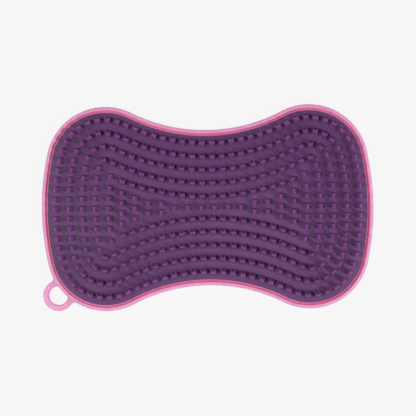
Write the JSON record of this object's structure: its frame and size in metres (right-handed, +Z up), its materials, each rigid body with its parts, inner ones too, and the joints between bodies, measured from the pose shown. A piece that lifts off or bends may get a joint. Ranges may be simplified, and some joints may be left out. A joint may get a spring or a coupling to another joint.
{
  "type": "curry comb",
  "caption": "Flexible waisted curry comb: a grooming face of radial wedge nubs set in a softer two-sided backing with a beaded rim, round massage pips and a hanging eye.",
  "frame": {"origin": "middle of the comb in plan, on the plane that the back's massage pips and oval seat stand on", "axes": "+X along the comb's length, with the hanging eye at the -X, -Y corner; +Y across its width; +Z up through the sheet to the nub tips"},
  "size_m": [0.1658, 0.102, 0.012],
  "materials": {
    "grooming_face": "satin purple silicone",
    "backing": "translucent satin pink silicone"
  },
  "bodies": {
    "root": {"nub_pad": "grooming_face", "back_shell": "backing"}
  },
  "joints": []
}
